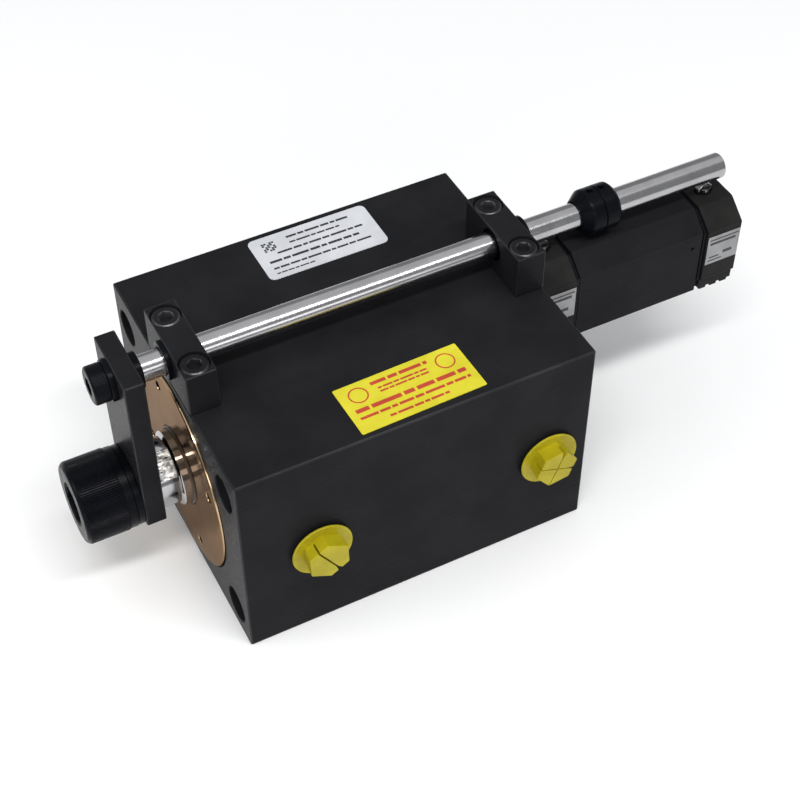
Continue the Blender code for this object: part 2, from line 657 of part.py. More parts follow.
def make_bar():
    bar = add("switch_bar", prism(bar_outline(), *BAR_X), "black_oxide")
    cut(bar, merge(*[rod(BAR_X[0] - 3, BAR_X[1] + 3, TIE_R + GAP, steps=16, centre=axis_x(0, z)) for z in TIE_Z]))
    seat = SWITCH_X[1] + SWITCH_LENGTH / 2 + GAP
    shank = REAR - 9.0 - seat
    for number, z in enumerate(TIE_Z, start=1):
        spot = Vector((seat, 0, z))
        head = [(shank, 0), (shank, TIE_R), (0, TIE_R), (0, TIE_HEAD_R), (TIE_HEAD - 0.6, TIE_HEAD_R),
                (TIE_HEAD, TIE_HEAD_R - 0.6), (TIE_HEAD, 0)]
        bolt = add("tie_bolt_" + str(number), turned(head, steps=20), "black_screw", spot)
        cut(bolt, prism(polygon(6, 4.5), 2.6, 7.0), spot)


def make_labels():
    size = RATING_LABEL
    plate = prism(rounded(size.x, size.y, 3.0), 0, size.z, axis="Z")
    add("rating_label", plate, "white_label", RATING_AT)
    size = CAUTION_LABEL
    plate = brick((-size.x / 2, -size.y / 2, 0), (size.x / 2, size.y / 2, size.z))
    add("caution_label", plate, "yellow_label", CAUTION_AT, turn=(0, 0, radians(CAUTION_TURN)))


def main():
    clear_scene()
    make_block()
    make_gland()
    make_guides()
    for name, x, turn in zip(("front", "rear"), PORT_X, PLUG_TURNS):
        make_port_plug(name, x, turn)
    rod_body = anchor("rod_body", Vector((FRONT, 0, BORE_Z)))
    make_rod(rod_body)
    make_link(rod_body)
    make_trip_rod(rod_body)
    collar_body = anchor("collar_body", Vector((RING_FRONT, 0, TRIP_Z)))
    make_trip_collar(collar_body)
    make_bar()
    for name, x, cover_side in zip(("front", "rear"), SWITCH_X, (1, -1)):
        make_switch(name, x, cover_side)
        slider = anchor("plunger_body_" + name, Vector((x, 0, SWITCH_TOP)))
        spinner = anchor("roller_body_" + name, Vector((x, 0, ROLLER_Z)))
        make_plunger(name, x, slider, spinner)
    make_labels()


main()
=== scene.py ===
"""Looks of a block hydraulic cylinder with a link plate, a trip rod and two limit switches.

Lengths are in millimetres until a mesh is made, which is in metres. +X runs along the rods,
from the clamp screw to the limit switches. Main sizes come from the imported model's boxes.
"""
from math import cos, pi, radians, sin

import bmesh
import bpy
from mathutils import Matrix, Vector


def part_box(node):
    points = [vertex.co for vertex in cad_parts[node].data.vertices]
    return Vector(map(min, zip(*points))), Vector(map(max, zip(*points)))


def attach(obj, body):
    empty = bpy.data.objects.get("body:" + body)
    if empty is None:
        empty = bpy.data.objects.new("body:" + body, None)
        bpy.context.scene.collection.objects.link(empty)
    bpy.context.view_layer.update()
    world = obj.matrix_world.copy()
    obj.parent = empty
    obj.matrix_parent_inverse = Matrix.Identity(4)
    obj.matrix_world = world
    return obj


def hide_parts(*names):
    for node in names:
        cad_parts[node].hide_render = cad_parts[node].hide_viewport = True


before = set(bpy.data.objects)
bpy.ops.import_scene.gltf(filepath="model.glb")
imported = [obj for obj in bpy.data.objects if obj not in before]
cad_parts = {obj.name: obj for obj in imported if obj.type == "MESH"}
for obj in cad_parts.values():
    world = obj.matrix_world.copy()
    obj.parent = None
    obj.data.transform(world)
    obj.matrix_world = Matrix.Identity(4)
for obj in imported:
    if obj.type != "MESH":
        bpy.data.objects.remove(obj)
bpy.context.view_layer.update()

MM = 0.001


def span(node):
    """Lowest and highest corner of a CAD node, in millimetres."""
    low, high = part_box(node)
    return low / MM, high / MM


def middle(node):
    low, high = span(node)
    return (low + high) / 2


BLOCK_LOW, BLOCK_HIGH = span("cylinder_block")
FRONT, NEAR = BLOCK_LOW.x, BLOCK_LOW.y
REAR, TOP = BLOCK_HIGH.x, BLOCK_HIGH.z
BORE_Z = middle("front_gland").z
TRIP_Z = middle("trip_rod").z
BORE_LINE = (0, 0, BORE_Z)
TRIP_LINE = (0, 0, TRIP_Z)


# --- Materials -------------------------------------------------------------


def base_look(name, colour, roughness, metallic=0.0, **sockets):
    """A Principled material with plain values on its sockets."""
    made = bpy.data.materials.new(name)
    made.use_nodes = True
    shader = made.node_tree.nodes["Principled BSDF"]
    shader.inputs["Base Color"].default_value = (*colour, 1.0)
    shader.inputs["Roughness"].default_value = roughness
    shader.inputs["Metallic"].default_value = metallic
    for socket, value in sockets.items():
        shader.inputs[socket.replace("_", " ")].default_value = value
    return made


def place(material, stretch=(1, 1, 1), shift=(0, 0, 0)):
    """Object coordinates, shifted and stretched."""
    tree = material.node_tree
    coords = tree.nodes.new("ShaderNodeTexCoord")
    mapping = tree.nodes.new("ShaderNodeMapping")
    mapping.inputs["Scale"].default_value = stretch
    mapping.inputs["Location"].default_value = shift
    tree.links.new(coords.outputs["Object"], mapping.inputs["Vector"])
    return mapping.outputs["Vector"]


def noise(material, scale, detail=3.0, stretch=(1, 1, 1), rough=0.55):
    tree = material.node_tree
    texture = tree.nodes.new("ShaderNodeTexNoise")
    texture.inputs["Scale"].default_value = scale
    texture.inputs["Detail"].default_value = detail
    texture.inputs["Roughness"].default_value = rough
    tree.links.new(place(material, stretch), texture.inputs["Vector"])
    return texture.outputs["Fac"]


def rings(material, centre, pitch):
    """Turning marks: rings about an axis along X through the centre."""
    tree = material.node_tree
    texture = tree.nodes.new("ShaderNodeTexWave")
    texture.wave_type = "RINGS"
    texture.rings_direction = "X"
    texture.inputs["Scale"].default_value = 2 * pi / (20 * pitch * MM)
    texture.inputs["Distortion"].default_value = 0.6
    texture.inputs["Detail"].default_value = 2.0
    shift = (0, -centre[0] * MM, -centre[1] * MM)
    tree.links.new(place(material, shift=shift), texture.inputs["Vector"])
    return texture.outputs["Fac"]


def remap(material, source, low, high, start=0.35, end=0.65):
    tree = material.node_tree
    node = tree.nodes.new("ShaderNodeMapRange")
    node.inputs["From Min"].default_value = start
    node.inputs["From Max"].default_value = end
    node.inputs["To Min"].default_value = low
    node.inputs["To Max"].default_value = high
    tree.links.new(source, node.inputs["Value"])
    return node.outputs["Result"]


def colour_between(material, factor, first, second):
    tree = material.node_tree
    node = tree.nodes.new("ShaderNodeMix")
    node.data_type = "RGBA"
    node.inputs["A"].default_value = (*first, 1.0)
    node.inputs["B"].default_value = (*second, 1.0)
    tree.links.new(factor, node.inputs["Factor"])
    return node.outputs["Result"]


def feed(material, socket, source):
    shader = material.node_tree.nodes["Principled BSDF"]
    material.node_tree.links.new(source, shader.inputs[socket])


def bump(material, *layers):
    """Bump from (height source, depth in millimetres) layers, one over the other."""
    tree = material.node_tree
    below = None
    for source, depth in layers:
        node = tree.nodes.new("ShaderNodeBump")
        node.inputs["Strength"].default_value = 1.0
        node.inputs["Distance"].default_value = depth * MM
        tree.links.new(source, node.inputs["Height"])
        if below:
            tree.links.new(below, node.inputs["Normal"])
        below = node.outputs["Normal"]
    feed(material, "Normal", below)


def black_oxide(name, dark, light, low_rough, high_rough, grain=(40, 900, 900), depth=0.0012, ior=1.1):
    """Oiled black oxide on ground steel: mottled, with fine grinding lines."""
    made = base_look(name, light, high_rough, 0.0, IOR=ior)
    mottle = noise(made, 38, 4.0)
    lines = noise(made, 1.0, 3.0, grain, 0.65)
    feed(made, "Base Color", colour_between(made, remap(made, mottle, 0.0, 1.0), dark, light))
    feed(made, "Roughness", remap(made, lines, low_rough, high_rough))
    bump(made, (lines, depth), (noise(made, 2600, 2.0), depth * 0.8))
    return made


def bare_metal(name, dark, light, low_rough, high_rough, grain, depth):
    """Bright metal with fine lines along one direction."""
    made = base_look(name, light, high_rough, 1.0)
    lines = noise(made, 1.0, 3.0, grain, 0.6)
    feed(made, "Base Color", colour_between(made, remap(made, noise(made, 55, 3.0), 0.0, 1.0), dark, light))
    feed(made, "Roughness", remap(made, lines, low_rough, high_rough))
    bump(made, (lines, depth))
    return made


def bronze_look():
    made = base_look("bronze", (0.6, 0.4, 0.2), 0.12, 1.0, Specular_Tint=(0.4, 0.34, 0.31, 1.0))
    stain = noise(made, 60, 4.0)
    tone = colour_between(made, remap(made, stain, 0.0, 1.0), (0.5, 0.36, 0.22), (0.6, 0.44, 0.28))
    feed(made, "Base Color", tone)
    turning = rings(made, (0.0, BORE_Z), 0.45)
    feed(made, "Roughness", remap(made, noise(made, 140, 3.0), 0.09, 0.15))
    bump(made, (turning, 0.0005), (noise(made, 900, 2.0), 0.0004))
    return made


def plastic(name, dark, light, low_rough, high_rough, scale=500, depth=0.02, **sockets):
    """Moulded plastic or printed film with a fine uneven skin."""
    made = base_look(name, light, high_rough, 0.0, **sockets)
    feed(made, "Base Color", colour_between(made, remap(made, noise(made, 70, 3.0), 0.0, 1.0), dark, light))
    feed(made, "Roughness", remap(made, noise(made, scale, 3.0), low_rough, high_rough))
    bump(made, (noise(made, scale, 3.0), depth))
    return made


def scratched_steel():
    """The rod's wrench flat: bright steel bruised by a spanner."""
    made = base_look("flat_steel", (0.7, 0.7, 0.71), 0.3, 1.0)
    bruise = noise(made, 1.0, 6.0, (260, 700, 240), 0.8)
    feed(made, "Base Color", colour_between(made, remap(made, bruise, 0.0, 1.0, 0.38, 0.62),
                                            (0.02, 0.02, 0.021), (0.26, 0.26, 0.255)))
    feed(made, "Roughness", remap(made, bruise, 0.5, 0.2))
    bump(made, (bruise, 0.03))
    return made


EVEN_GRAIN = (300, 300, 300)
OXIDE = black_oxide("black_oxide", (0.0116, 0.0116, 0.0131), (0.0156, 0.0156, 0.0176), 0.26, 0.34)
# Lighter oxide for the bevelled edges of the block, guides and link bar: partly edge wear, partly a painted
# highlight along the edges.
OXIDE_EDGE_WEAR_AND_HIGHLIGHT = black_oxide("black_oxide_edge_wear_and_highlight", (0.011, 0.011, 0.0125), (0.024, 0.024, 0.026), 0.3, 0.42,
                         ior=1.25)
SCREW = black_oxide("black_screw", (0.0016, 0.0018, 0.0028), (0.0036, 0.004, 0.0062), 0.24, 0.36,
                    EVEN_GRAIN, 0.003, 1.15)
# Lighter black oxide on screw socket walls, countersinks and rim chamfers: a painted highlight.
SCREW_PAINTED_HIGHLIGHT = black_oxide("black_screw_painted_highlight", (0.012, 0.012, 0.013), (0.05, 0.05, 0.052), 0.22, 0.34,
                         EVEN_GRAIN, 0.003, 1.5)
ALLOY = plastic("black_alloy", (0.012, 0.0118, 0.0115), (0.019, 0.0185, 0.018), 0.42, 0.55, 1500, 0.01,
                IOR=1.15)
BRONZE = bronze_look()
CHROME = bare_metal("chrome", (0.42, 0.42, 0.43), (0.52, 0.52, 0.53), 0.06, 0.13, (900, 60, 60), 0.0006)
GROUND = bare_metal("ground_rod", (0.4, 0.395, 0.405), (0.48, 0.475, 0.49), 0.15, 0.21, (1500, 50, 50),
                    0.0003)
STEEL = bare_metal("bright_steel", (0.34, 0.34, 0.35), (0.5, 0.5, 0.51), 0.2, 0.35, (400, 400, 400), 0.003)
# Darker steel for the plunger forks, and as painted shade on the front roller wheel.
DARK_STEEL_AND_SHADE = bare_metal("dark_steel_and_shade", (0.05, 0.05, 0.052), (0.12, 0.12, 0.125), 0.3, 0.45, (400, 400, 400), 0.003)
FLAT = scratched_steel()
RUBBER = plastic("seal_rubber", (0.006, 0.006, 0.007), (0.012, 0.012, 0.013), 0.5, 0.7, 1800, 0.01, IOR=1.3)
WIPER = plastic("wiper_rubber", (0.045, 0.028, 0.016), (0.07, 0.045, 0.026), 0.3, 0.4, 900, 0.004, IOR=1.4)
YELLOW = plastic("yellow_plastic", (0.36, 0.3, 0.006), (0.45, 0.385, 0.009), 0.36, 0.5, 420, 0.02, IOR=1.35,
                 Subsurface_Weight=0.1, Subsurface_Scale=0.003)
WHITE_FILM = plastic("white_label", (0.52, 0.53, 0.56), (0.6, 0.61, 0.64), 0.28, 0.36, 260, 0.004)
YELLOW_FILM = plastic("yellow_label", (0.56, 0.5, 0.01), (0.64, 0.58, 0.02), 0.3, 0.4, 260, 0.004)
SILVER_FILM = plastic("silver_label", (0.22, 0.22, 0.225), (0.31, 0.31, 0.315), 0.3, 0.45, 260, 0.004,
                      Metallic=0.3)
INK = plastic("label_ink", (0.014, 0.014, 0.016), (0.03, 0.03, 0.034), 0.4, 0.55, 900, 0.002)
RED_INK = plastic("label_red_ink", (0.4, 0.035, 0.012), (0.5, 0.055, 0.018), 0.4, 0.55, 900, 0.002)


# --- Mesh helpers ----------------------------------------------------------


def spun(work, profile, axis="X", steps=96, centre=(0, 0, 0), closed=False):
    """Spin a profile of (distance along the axis, radius) points about an axis through the centre."""
    centre = Vector(centre)
    along = {"X": Vector((1, 0, 0)), "Y": Vector((0, 1, 0)), "Z": Vector((0, 0, 1))}[axis]
    out = {"X": Vector((0, 0, 1)), "Y": Vector((0, 0, 1)), "Z": Vector((1, 0, 0))}[axis]
    verts = [work.verts.new(centre + along * spot + out * radius) for spot, radius in profile]
    pairs = list(zip(verts, verts[1:]))
    if closed:
        pairs.append((verts[-1], verts[0]))
    edges = [work.edges.new(pair) for pair in pairs]
    bmesh.ops.spin(work, geom=verts + edges, cent=centre, axis=along, dvec=(0, 0, 0), angle=2 * pi,
                   steps=steps, use_merge=True, use_duplicate=False)
    bmesh.ops.remove_doubles(work, verts=work.verts, dist=1e-4)
    loose = [edge for edge in work.edges if not edge.link_faces]
    bmesh.ops.delete(work, geom=loose, context="EDGES")


def turned(profile, **options):
    work = bmesh.new()
    spun(work, profile, **options)
    return work


def rod(low, high, radius, chamfer=0.0, **options):
    profile = [(low, 0), (low, radius - chamfer), (low + chamfer, radius), (high - chamfer, radius),
               (high, radius - chamfer), (high, 0)]
    return turned(profile, **options)


def tube(low, high, inner, outer, chamfer=0.2, **options):
    profile = [(low, inner), (low, outer - chamfer), (low + chamfer, outer), (high - chamfer, outer),
               (high, outer - chamfer), (high, inner)]
    return turned(profile, closed=True, **options)


def hole_profile(low, high, radius, mouth, reach=4.0):
    """A through drill from low to high whose two mouths are countersunk."""
    return [(low - reach, 0), (low - reach, radius + mouth + reach), (low + mouth, radius),
            (high - mouth, radius), (high + reach, radius + mouth + reach), (high + reach, 0)]


def knurled(profile, teeth, depth, centre):
    """A body of rings (place, radius, grooved) about an axis along X, with flat-topped straight ridges."""
    work = bmesh.new()
    steps = teeth * 4
    loops = []
    for spot, radius, grooved in profile:
        loop = []
        for step in range(steps):
            reach = radius - depth if grooved and step % 4 == 3 else radius
            turn = 2 * pi * step / steps
            loop.append(work.verts.new((spot, centre[0] + reach * cos(turn), centre[1] + reach * sin(turn))))
        loops.append(loop)
    for loop, after in zip(loops, loops[1:]):
        for step in range(steps):
            following = (step + 1) % steps
            work.faces.new((loop[step], loop[following], after[following], after[step]))
    work.faces.new(list(reversed(loops[0])))
    work.faces.new(loops[-1])
    return work


def brick(low, high, bevel=0.0, segments=3, edge_look=0):
    """A box between two corners with rounded edges."""
    work = bmesh.new()
    low, high = Vector(low), Vector(high)
    spot = Matrix.Translation((low + high) / 2) @ Matrix.Diagonal((*(high - low), 1.0))
    bmesh.ops.create_cube(work, size=1.0, matrix=spot)
    if bevel:
        bmesh.ops.bevel(work, geom=work.edges[:], offset=bevel, segments=segments, profile=0.5,
                        affect="EDGES", material=edge_look)
    return work


def prism(outline, low, high, axis="X", bevel=0.0, segments=2, edge_look=0):
    """Extrude a flat outline along an axis, X: (y, z), Y: (x, z), Z: (x, y)."""
    spots = {"X": lambda a, b, c: (c, a, b),
             "Y": lambda a, b, c: (a, c, b),
             "Z": lambda a, b, c: (a, b, c)}[axis]
    work = bmesh.new()
    face = work.faces.new([work.verts.new(spots(a, b, low)) for a, b in outline])
    made = bmesh.ops.extrude_face_region(work, geom=[face])
    moved = [item for item in made["geom"] if isinstance(item, bmesh.types.BMVert)]
    bmesh.ops.translate(work, vec=spots(0, 0, high - low), verts=moved)
    if bevel:
        sharp = [edge for edge in work.edges if edge.calc_face_angle(0) > radians(25)]
        bmesh.ops.bevel(work, geom=sharp, offset=bevel, segments=segments, profile=0.5, affect="EDGES",
                        material=edge_look)
    return work


def polygon(sides, across_flats, start=0.0, centre=(0.0, 0.0)):
    radius = across_flats / 2 / cos(pi / sides)
    turns = [start + 2 * pi * (step + 0.5) / sides for step in range(sides)]
    return [(centre[0] + radius * cos(turn), centre[1] + radius * sin(turn)) for turn in turns]


def rounded(width, height, radius, steps=6):
    """Outline of a rectangle with round corners, centred on the origin."""
    points = []
    for corner in range(4):
        side_x = 1 if corner in (0, 3) else -1
        side_y = 1 if corner in (0, 1) else -1
        for step in range(steps + 1):
            turn = pi / 2 * (corner + step / steps)
            points.append((side_x * (width / 2 - radius) + radius * cos(turn),
                           side_y * (height / 2 - radius) + radius * sin(turn)))
    return points


def to_object(name, work, looks=()):
    """A bmesh in millimetres becomes an object in metres."""
    bmesh.ops.scale(work, vec=(MM, MM, MM), verts=work.verts)
    bmesh.ops.recalc_face_normals(work, faces=work.faces)
    mesh = bpy.data.meshes.new(name)
    work.to_mesh(mesh)
    work.free()
    for look in looks:
        mesh.materials.append(look)
    item = bpy.data.objects.new(name, mesh)
    bpy.context.scene.collection.objects.link(item)
    return item


def evaluated(item):
    """Replace the object's mesh by what its modifiers make of it."""
    bpy.context.view_layer.update()
    graph = bpy.context.evaluated_depsgraph_get()
    mesh = bpy.data.meshes.new_from_object(item.evaluated_get(graph), depsgraph=graph)
    item.modifiers.clear()
    item.data = mesh


def carve(item, works, operation="DIFFERENCE"):
    """Cut the shapes out of the object, or join them to it, one after the other."""
    for work in works:
        tool = to_object("tool", work, item.data.materials)
        boolean = item.modifiers.new("cut", "BOOLEAN")
        boolean.operation = operation
        boolean.solver = "EXACT"
        boolean.object = tool
        evaluated(item)
        bpy.data.objects.remove(tool)


def piece(name, work, look, body, node=None, cuts=(), joins=(), angle=32, edge=None):
    """A finished piece: carved, shaded, given its material, and set to ride on its body."""
    item = to_object(name, work, (look, edge or look))
    carve(item, joins, "UNION")
    carve(item, cuts)
    mesh = item.data
    mesh.shade_smooth()
    mesh.set_sharp_from_angle(angle=radians(angle))
    item.modifiers.new("normals", "WEIGHTED_NORMAL").keep_sharp = True
    evaluated(item)
    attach(item, body)
    if node:
        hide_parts(node)
    return item


# --- Cylinder body ---------------------------------------------------------

BODY = "cylinder_body"
MOUNT_Y = 56.0
MOUNT_Z = (15.0, 93.0)
MOUNT_R = 8.75
PORT_R = 10.4
PORT_PASSAGE_R = 4.0
BORE_R = 40.0
BORE_END = 71.0
GLAND_R = 50.0
GLAND_FLANGE = 22.0
ROD_R = 18.0
SPANNER_R = 40.6  # circle of the gland's spanner holes
SPANNER_TURN = 66.9
SHANK_ROOM = 4.3
COUNTERBORE_R = 7.0
HEAD_R = 6.5
HEAD_HEIGHT = 8.0
BUSH_BORE = 6.55
JOINT_LINE = 0.28  # how far washers reach into the gaps beside them
PLUG_NODES = ("port_plug_front", "port_plug_rear")
GUIDES = ("guide_block_front", "guide_block_rear")
GUIDE_SCREWS = ("guide_screw_front_1", "guide_screw_front_2", "guide_screw_rear_1", "guide_screw_rear_2")


def make_block():
    gland_room = GLAND_R + 0.3
    gland_cut = [(FRONT - 5, 0), (FRONT - 5, gland_room + 5.4), (FRONT + 0.4, gland_room),
                 (FRONT + GLAND_FLANGE, gland_room), (FRONT + GLAND_FLANGE, BORE_R), (BORE_END, BORE_R),
                 (BORE_END, 0)]
    cuts = [turned(gland_cut, steps=160, centre=BORE_LINE)]
    for side in (-1, 1):
        for z in MOUNT_Z:
            hole = hole_profile(FRONT, REAR, MOUNT_R, 0.5)
            cuts.append(turned(hole, steps=64, centre=(0, side * MOUNT_Y, z)))
    for node in PLUG_NODES:
        at = middle(node)
        port = [(NEAR - 4, 0), (NEAR - 4, PORT_R + 4.8), (NEAR + 0.8, PORT_R), (NEAR + 17, PORT_R),
                (NEAR + 20, PORT_PASSAGE_R), (3 - BORE_R, PORT_PASSAGE_R), (3 - BORE_R, 0)]
        cuts.append(turned(port, axis="Y", steps=64, centre=(at.x, 0, at.z)))
    for node in GUIDE_SCREWS:
        at = middle(node)
        tip = span(node)[0].z
        cuts.append(rod(tip - 0.4, TOP + 4, SHANK_ROOM, axis="Z", steps=32, centre=(at.x, at.y, 0)))
    piece("block_body", brick(BLOCK_LOW, BLOCK_HIGH, 0.9, 3, 1), OXIDE, BODY, "cylinder_block",
          cuts, edge=OXIDE_EDGE_WEAR_AND_HIGHLIGHT)


def make_gland():
    low, high = span("front_gland")
    face, end = low.x, high.x
    inner = ROD_R + 0.3
    flange = face + GLAND_FLANGE + 0.7
    spigot = BORE_R - 0.3
    profile = [(face, 19.5), (face, 24.0), (face, 44.0), (face, GLAND_R - 0.9),
               (face + 0.25, GLAND_R - 0.25), (face + 0.9, GLAND_R), (flange, GLAND_R), (flange, spigot),
               (end, spigot), (end, inner), (face + 6.0, inner), (face + 6.0, 22.3), (face + 1.5, 22.3),
               (face + 1.5, 19.5)]
    cuts = []
    for quarter in range(4):
        turn = radians(SPANNER_TURN + 90 * quarter)
        spot = (0, SPANNER_R * cos(turn), BORE_Z + SPANNER_R * sin(turn))
        pin = [(face - 3, 0), (face - 3, 2.5 + 3.3), (face + 0.3, 2.5), (face + 5, 2.5), (face + 5, 0)]
        cuts.append(turned(pin, steps=40, centre=spot))
    piece("gland_ring", turned(profile, closed=True, steps=192, centre=BORE_LINE), BRONZE, BODY,
          "front_gland", cuts)
    lip = [(face - 0.9, inner), (face - 0.9, 18.5), (face - 0.3, 19.0), (face + 0.4, 19.2), (face + 1.8, 19.2),
           (face + 1.8, 22.0), (face + 5.7, 22.0), (face + 5.7, inner)]
    piece("wiper_lip", turned(lip, closed=True, steps=96, centre=BORE_LINE), WIPER, BODY,
          "rod_wiper")


def make_guides():
    for node, outward in zip(GUIDES, (-1, 1)):
        end = node.split("_")[-1]
        low, high = span(node)
        at = (low + high) / 2
        cuts = [turned(hole_profile(low.x, high.x, 8.0, 0.4), steps=64, centre=TRIP_LINE)]
        for number in (1, 2):
            screw = "guide_screw_" + end + "_" + str(number)
            head_low, head_high = span(screw)
            spot = (head_low + head_high) / 2
            seat = head_high.z - HEAD_HEIGHT - 0.3
            bore = [(low.z - 4, 0), (low.z - 4, SHANK_ROOM), (seat, SHANK_ROOM), (seat, COUNTERBORE_R),
                    (high.z - 0.2, COUNTERBORE_R), (high.z + 4, COUNTERBORE_R + 4.2), (high.z + 4, 0)]
            cuts.append(turned(bore, axis="Z", steps=64, centre=(spot.x, spot.y, 0)))
            make_cap_screw(screw, head_high.z, head_low.z, spot)
        piece(node + "_skin", brick(low, high, 0.6, 3, 1), OXIDE, BODY, node, cuts,
              edge=OXIDE_EDGE_WEAR_AND_HIGHLIGHT)
        bush_low, bush_high = span("guide_bush_" + end)
        face = bush_low.x if outward < 0 else bush_high.x
        inward = -outward
        flange = face + inward * 1.9
        inner_end = at.x - outward * 6.0
        profile = [(inner_end, BUSH_BORE), (face + inward * 0.4, BUSH_BORE), (face, 6.9), (face, 8.7),
                   (face + inward * 0.3, 9.0), (flange, 9.0), (flange, 7.7), (inner_end, 7.7)]
        piece("bush_" + end, turned(profile, closed=True, steps=96, centre=TRIP_LINE), SCREW, BODY,
              "guide_bush_" + end)


def highlight_sides(work):
    """Give a cutter's sides the second material slot, a lighter oxide that paints a highlight on them; flat
    floors stay dark.
    """
    for face in work.faces:
        face.normal_update()
        face.material_index = 0 if abs(face.normal.z) > 0.9 else 1
    return work


def make_cap_screw(node, top, tip, at):
    """A recessed socket-head cap screw that points down, with a painted highlight on its rim and in its socket.
    """
    radius = HEAD_R
    centre = (at.x, at.y, 0)
    under = top - HEAD_HEIGHT
    profile = [(tip, 0), (tip, 4.0), (under, 4.0), (under, radius), (top - 0.8, radius),
               (top - 0.35, radius - 0.12), (top, radius - 0.45), (top, 0)]
    socket = prism(polygon(6, 6.0, centre=(at.x, at.y)), top - 3.4, top + 2, axis="Z")
    sink = turned([(top - 0.5, 0), (top - 0.5, 3.0), (top + 0.3, 3.8), (top + 2, 5.5), (top + 2, 0)],
                  axis="Z", steps=48, centre=centre)
    rim = turned([(top - 0.7, radius - 0.2), (top - 0.7, radius + 1), (top + 1, radius + 1),
                  (top + 1, radius - 1.1), (top - 0.1, radius - 1.1)],
                 closed=True, axis="Z", steps=72, centre=centre)
    piece(node + "_head", turned(profile, axis="Z", steps=72, centre=centre), OXIDE, BODY, node,
          [highlight_sides(socket), highlight_sides(sink), highlight_sides(rim)], edge=SCREW_PAINTED_HIGHLIGHT)


def slot_cutter(half_width, grip_end, depth):
    """A straight slot whose far end opens into a V at the grip's rim."""
    outline = [(-11, -half_width), (6.5, -half_width), (11, -half_width - 1.3), (11, half_width + 1.3),
               (6.5, half_width), (-11, half_width)]
    return prism(outline, grip_end - 1, grip_end + depth, axis="Y")


def make_plug(node, turn, slots):
    """A soft transport plug: dished flange, slotted hexagon grip that flares outwards."""
    low, high = span(node)
    at = (low + high) / 2
    face = NEAR
    grip_end = low.y
    steps = 5  # facets of the dish in the flange
    dish = [(face - 2.6 + 0.9 * sin(pi / 2 * step / steps), 14.1 - 4.4 * step / steps)
            for step in range(steps + 1)]
    profile = [(high.y, 0), (high.y, 8.2), (high.y - 0.5, 8.6), (face + 9.6, 9.2), (face - 0.6, 9.6),
               (face - 1.1, 12.0), (face - 1.5, 14.3), (face - 2.0, 14.6), (face - 2.5, 14.45)]
    profile += dish + [(face - 1.7, 0)]
    grip = prism(polygon(6, 18.6, radians(turn)), face - 1.2, grip_end, axis="Y", bevel=0.6, segments=3)
    centre = Vector((at.x, 0, at.z))
    for vert in grip.verts:
        flare = 0.9 + 0.1 * (face - vert.co.y) / (face - grip_end)
        vert.co.x *= flare
        vert.co.z *= flare
    bmesh.ops.translate(grip, vec=centre, verts=grip.verts)
    cuts = []
    for quarter, half_width, depth in slots:
        slot = slot_cutter(half_width, grip_end, depth)
        spin = Matrix.Rotation(radians(-turn - quarter), 3, "Y")
        bmesh.ops.rotate(slot, matrix=spin, verts=slot.verts)
        bmesh.ops.translate(slot, vec=centre, verts=slot.verts)
        cuts.append(slot)
    cuts.append(rod(face + 3, high.y + 2, 6.0, axis="Y", steps=48, centre=centre))
    piece(node + "_cap", turned(profile, axis="Y", steps=96, centre=centre), YELLOW, BODY,
          node, cuts, [grip])


# --- Labels ----------------------------------------------------------------


WORDS = (5.2, 3.1, 7.4, 4.3, 2.4, 6.1, 3.6, 8.2, 2.9, 4.8)  # lengths of dashes 1.3 high, taken in turn
CAUTION_TURN = 1.6
RATING_ROWS = [(-12.0, 22.0, 10.0, 1.3), (-12.0, 14.0, 6.0, 1.1), (-20.0, 24.0, 1.6, 1.3),
               (-26.0, 20.0, -3.2, 1.5), (-26.0, 24.0, -7.8, 1.2), (-26.0, -6.0, -11.4, 0.8)]
CAUTION_ROWS = [(-14.0, 14.0, 10.2, 1.9), (-12.0, 12.0, 6.6, 1.0), (-12.0, 12.0, 4.4, 1.0),
                (-27.0, 27.0, -1.6, 2.3), (-27.0, 27.0, -6.0, 1.5), (-15.0, 14.0, -10.2, 1.3)]


def print_rows(name, rows, top, look, at, turn=0.0):
    """Rows of plain dashes that stand for print: (left, right, y, height) about the label's centre."""
    work = bmesh.new()
    word = 0
    for left, right, y, height in rows:
        x = left
        while x < right - 1.5:
            width = min(WORDS[word % len(WORDS)] * height / 1.3, right - x)
            spot = Matrix.Translation((x + width / 2, y, top + 0.01))
            bmesh.ops.create_cube(work, size=1.0, matrix=spot @ Matrix.Diagonal((width, height, 0.04, 1.0)))
            x += width + 0.55 * height
            word += 1
    bmesh.ops.rotate(work, matrix=Matrix.Rotation(radians(turn), 3, "Z"), verts=work.verts)
    bmesh.ops.translate(work, vec=(at.x, at.y, 0), verts=work.verts)
    piece(name, work, look, BODY)


def make_rating_label():
    low, high = span("rating_label")
    at = (low + high) / 2
    work = prism(rounded(high.x - low.x, high.y - low.y, 3.0), low.z, high.z, axis="Z")
    bmesh.ops.translate(work, vec=(at.x, at.y, 0), verts=work.verts)
    piece("rating_plate", work, WHITE_FILM, BODY, "rating_label")
    print_rows("rating_print", RATING_ROWS, high.z, INK, at)
    grid = bmesh.new()
    cell = 1.3
    for step in range(25):
        if step % 3 != 1:
            column, row = step % 5, step // 5
            spot = Matrix.Translation((at.x - 24.5 + column * cell, at.y + 4.6 + row * cell, high.z + 0.01))
            bmesh.ops.create_cube(grid, matrix=spot @ Matrix.Diagonal((1.1, 1.1, 0.04, 1.0)))
    piece("rating_grid", grid, INK, BODY)


